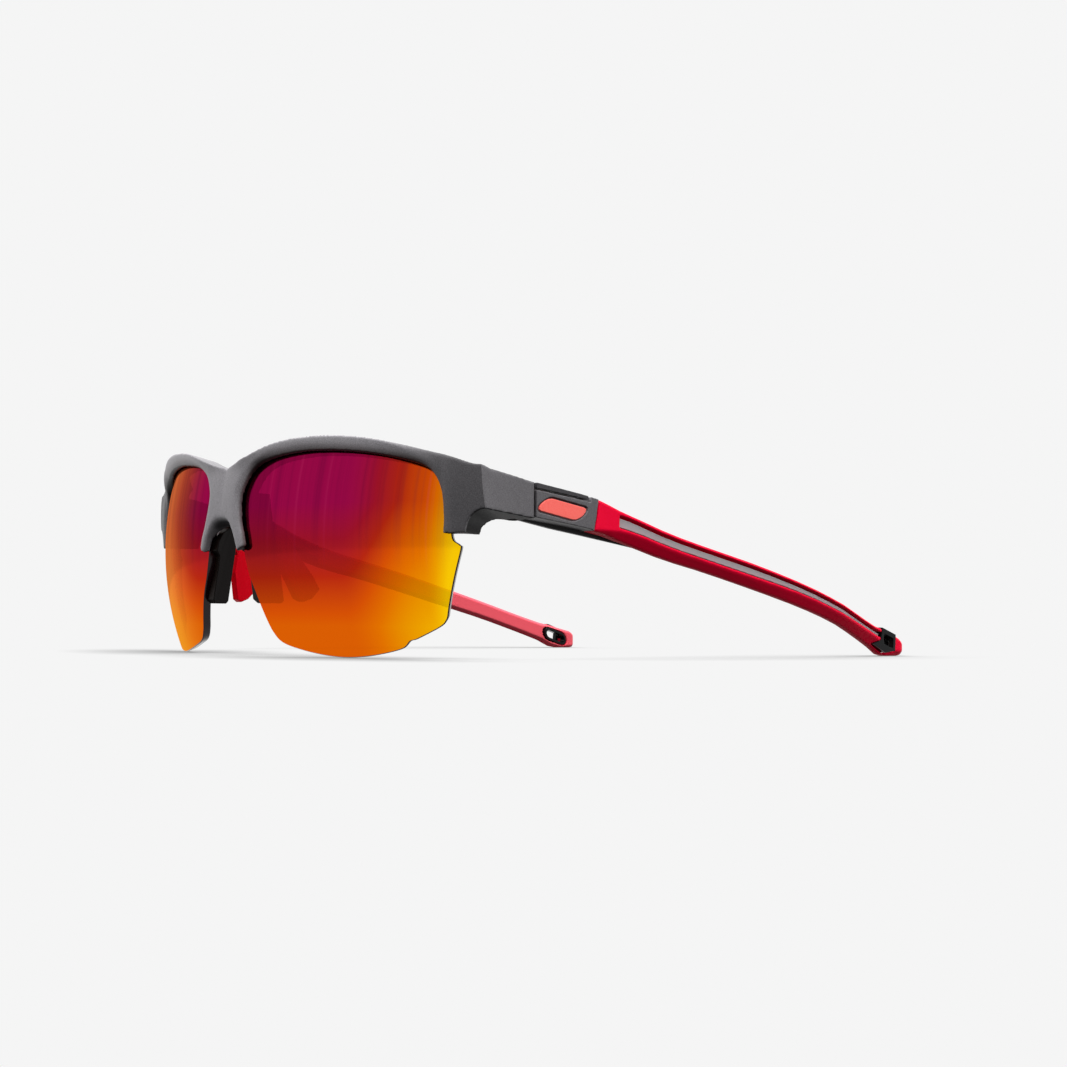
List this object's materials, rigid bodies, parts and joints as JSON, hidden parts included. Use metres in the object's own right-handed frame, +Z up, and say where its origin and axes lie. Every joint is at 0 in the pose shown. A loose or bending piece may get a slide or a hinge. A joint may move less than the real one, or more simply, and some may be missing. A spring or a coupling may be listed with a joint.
{
  "type": "wraparound sport sunglasses",
  "caption": "Half-rim wraparound sport sunglasses with a curved brow frame, mirrored lenses, bendable nose pads and folding rubber-covered temples.",
  "frame": {"origin": "the middle of the bounding box's underside: on the plane of symmetry, in the plane that the lens bottoms and the temple tips rest on, halfway between the front-most point of the brow and the temple tips", "axes": "+X towards the wearer's left, +Y back along the temples, +Z up from the resting plane"},
  "size_m": [0.1466, 0.1682, 0.049],
  "materials": {
    "frame_grey": "satin metallic-flake grey nylon, fine grain",
    "lens_mirror": "polished polycarbonate with a mirror coating that runs from magenta through red to yellow at the edges",
    "nose_black": "satin black moulded nylon",
    "rubber_red": "smooth satin moulded rubber, bright red",
    "steel": "bright drawn steel",
    "trim_dark": "satin dark grey nylon",
    "badge_coral": "coral inlay with a soft shine",
    "tip_black": "glossy black moulded plastic"
  },
  "bodies": {
    "front": {"front_frame": "frame_grey", "lens_left": "lens_mirror", "lens_right": "lens_mirror", "nose_saddle": "nose_black", "hinge_screw_left": "steel", "hinge_screw_right": "steel"},
    "temple_left": {"temple_core_left": "frame_grey", "temple_sleeve_left": "rubber_red", "temple_top_strip_left": "trim_dark", "temple_badge_left": "badge_coral", "hinge_cover_left": "trim_dark", "tip_insert_left": "tip_black", "core_wire_left": "steel"},
    "temple_right": {"temple_core_right": "frame_grey", "temple_sleeve_right": "rubber_red", "temple_top_strip_right": "trim_dark", "temple_badge_right": "badge_coral", "hinge_cover_right": "trim_dark", "tip_insert_right": "tip_black", "core_wire_right": "steel"},
    "pad_left": {"nose_pad_left": "rubber_red", "nose_stem_left": "steel"},
    "pad_right": {"nose_pad_right": "rubber_red", "nose_stem_right": "steel"}
  },
  "joints": [
    {"name": "left_temple_fold", "type": "hinge", "parent": "front", "child": "temple_left", "pos_m": [0.0633, -0.04855, 0.0345], "axis": [0, 0, 1], "range_deg": [0, 93]},
    {"name": "right_temple_fold", "type": "hinge", "parent": "front", "child": "temple_right", "pos_m": [-0.0633, -0.04855, 0.0345], "axis": [0, 0, -1], "range_deg": [0, 86]},
    {"name": "left_pad_bend", "type": "hinge", "parent": "front", "child": "pad_left", "pos_m": [0.00965, -0.0741, 0.024], "axis": [0.3136, 0.9495, 0], "range_deg": [-8, 8]},
    {"name": "right_pad_bend", "type": "hinge", "parent": "front", "child": "pad_right", "pos_m": [-0.00965, -0.0741, 0.024], "axis": [-0.3136, 0.9495, 0], "range_deg": [-8, 8]}
  ]
}
